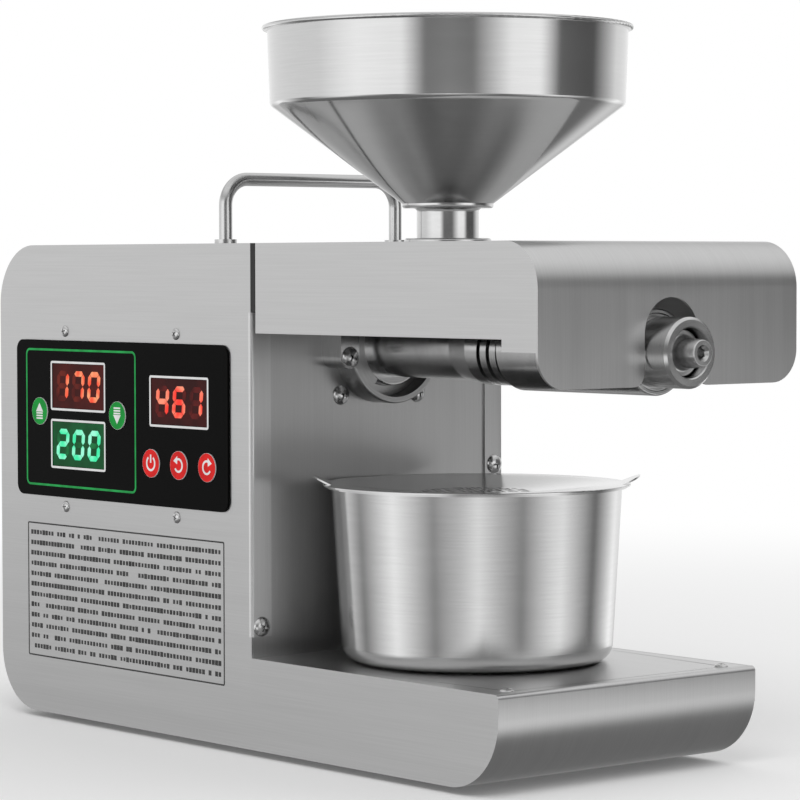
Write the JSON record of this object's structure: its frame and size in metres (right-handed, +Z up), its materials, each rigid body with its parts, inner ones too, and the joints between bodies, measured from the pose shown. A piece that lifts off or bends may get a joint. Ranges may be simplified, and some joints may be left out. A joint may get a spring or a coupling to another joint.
{
  "type": "screw oil press",
  "caption": "Table-top screw oil press: sheet-metal cabinet with a side control panel, spun feed hopper, horizontal barrel under a lift-off hood, and an oil pot with a strainer.",
  "frame": {"origin": "on the ground under the middle of the whole part, at the level of the foot bottoms", "axes": "+Z up; the press nozzle points towards -Y and the cabinet back towards +Y; the control panel is on the -X side"},
  "size_m": [0.1612, 0.401, 0.317],
  "materials": {
    "brushed_panel": "fine straight brushing",
    "inner_wall": "brushed, darker",
    "polished_spun": "polished stainless steel",
    "press_steel": "turned, fine tool marks",
    "seat_casting": "cast and turned",
    "screw_steel": "bright zinc or stainless",
    "gloss_black": "high gloss",
    "display_dark": "smoked display filter",
    "key_white": "satin",
    "black_rubber": "matt",
    "inlet_plastic": "satin moulded",
    "board_green": "soldermask",
    "die_cast": "as cast",
    "gear_steel": "cut and ground",
    "bronze": "plain bearing bronze",
    "motor_paint": "semi-gloss",
    "magnet": "ceramic grey",
    "fan_plastic": "matt",
    "probe_steel": "bright",
    "heater_mica": "mica and foil"
  },
  "bodies": {
    "housing": {"side_panel_left": "brushed_panel", "side_panel_right": "brushed_panel", "wrap_sheet": "brushed_panel", "front_wall": "inner_wall", "base_shell": "brushed_panel", "tray_plate": "brushed_panel", "rubber_feet": "black_rubber", "barrel_seat": "seat_casting", "guide_posts": "press_steel", "heater_ring": "heater_mica", "temperature_probe": "probe_steel", "press_barrel": "press_steel", "barrel_jacket": "press_steel", "outlet_nut": "press_steel", "hood_gasket": "black_rubber", "carry_handle": "polished_spun", "handle_nuts": "screw_steel", "panel_bezel": "gloss_black", "led_displays": "display_dark", "control_board": "board_green", "board_pillars": "screw_steel", "power_inlet": "inlet_plastic", "gearbox_case": "die_cast", "gearbox_cover": "die_cast", "gearbox_bolts": "screw_steel", "gear_bushes": "bronze", "output_bearings": "gear_steel", "motor_can": "motor_paint", "motor_front_bell": "die_cast", "motor_rear_bell": "die_cast", "motor_magnets": "magnet", "motor_cradle": "brushed_panel", "seat_screws": "screw_steel", "post_screws": "screw_steel", "flange_screws": "screw_steel", "panel_screws": "screw_steel", "tray_screws": "screw_steel"},
    "rotor": {"rotor_shaft": "gear_steel", "rotor_core": "gear_steel", "motor_pinion": "gear_steel", "cooling_fan": "fan_plastic"},
    "first_gear_set": {"first_gear": "gear_steel", "first_shaft": "gear_steel"},
    "second_gear_set": {"second_gear": "gear_steel", "second_shaft": "gear_steel"},
    "press_drive": {"output_gear": "gear_steel", "drive_socket": "gear_steel", "press_screw": "press_steel"},
    "hood": {"hood_shell": "brushed_panel", "hood_channels": "brushed_panel", "hopper_guard": "polished_spun"},
    "hopper": {"feed_hopper": "polished_spun"},
    "pot": {"oil_pot": "polished_spun"},
    "strainer": {"strainer_dish": "polished_spun"},
    "key_warmer_body": {"key_warmer": "key_white"},
    "key_cooler_body": {"key_cooler": "key_white"},
    "key_power_body": {"key_power": "key_white"},
    "key_press_stop_body": {"key_press_stop": "key_white"},
    "key_clear_body": {"key_clear": "key_white"}
  },
  "joints": [
    {"name": "rotor_spin", "type": "hinge", "parent": "housing", "child": "rotor", "pos_m": [0.00023, 0.1015, 0.09256], "axis": [0, 1, 0], "continuous": true},
    {"name": "first_gear_spin", "type": "hinge", "parent": "housing", "child": "first_gear_set", "pos_m": [-0.00775, 0.0515, 0.12458], "axis": [0, 1, 0], "continuous": true},
    {"name": "second_gear_spin", "type": "hinge", "parent": "housing", "child": "second_gear_set", "pos_m": [0.0261, 0.0395, 0.14073], "axis": [0, 1, 0], "continuous": true},
    {"name": "press_spin", "type": "hinge", "parent": "housing", "child": "press_drive", "pos_m": [0, 0.0245, 0.178], "axis": [0, 1, 0], "continuous": true},
    {"name": "hood_lift", "type": "slide", "parent": "housing", "child": "hood", "axis": [0, 0, 1], "range_m": [0, 0.06]},
    {"name": "hopper_lift", "type": "slide", "parent": "hood", "child": "hopper", "axis": [0, 0, 1], "range_m": [0, 0.05]},
    {"name": "pot_slide", "type": "slide", "parent": "housing", "child": "pot", "axis": [0, -1, 0], "range_m": [0, 0.21]},
    {"name": "strainer_lift", "type": "slide", "parent": "pot", "child": "strainer", "axis": [0, 0, 1], "range_m": [0, 0.03]},
    {"name": "key_warmer_press", "type": "slide", "parent": "housing", "child": "key_warmer_body", "axis": [1, 0, 0], "range_m": [0, 0.0006], "stiffness_N_per_m": 900},
    {"name": "key_cooler_press", "type": "slide", "parent": "housing", "child": "key_cooler_body", "axis": [1, 0, 0], "range_m": [0, 0.0006], "stiffness_N_per_m": 900},
    {"name": "key_power_press", "type": "slide", "parent": "housing", "child": "key_power_body", "axis": [1, 0, 0], "range_m": [0, 0.0006], "stiffness_N_per_m": 900},
    {"name": "key_press_stop_press", "type": "slide", "parent": "housing", "child": "key_press_stop_body", "axis": [1, 0, 0], "range_m": [0, 0.0006], "stiffness_N_per_m": 900},
    {"name": "key_clear_press", "type": "slide", "parent": "housing", "child": "key_clear_body", "axis": [1, 0, 0], "range_m": [0, 0.0006], "stiffness_N_per_m": 900}
  ],
  "couplings": [
    {"joint": "first_gear_spin", "follows": "rotor_spin", "ratio": -0.22222},
    {"joint": "second_gear_spin", "follows": "rotor_spin", "ratio": 0.067633},
    {"joint": "press_spin", "follows": "rotor_spin", "ratio": -0.02029}
  ]
}
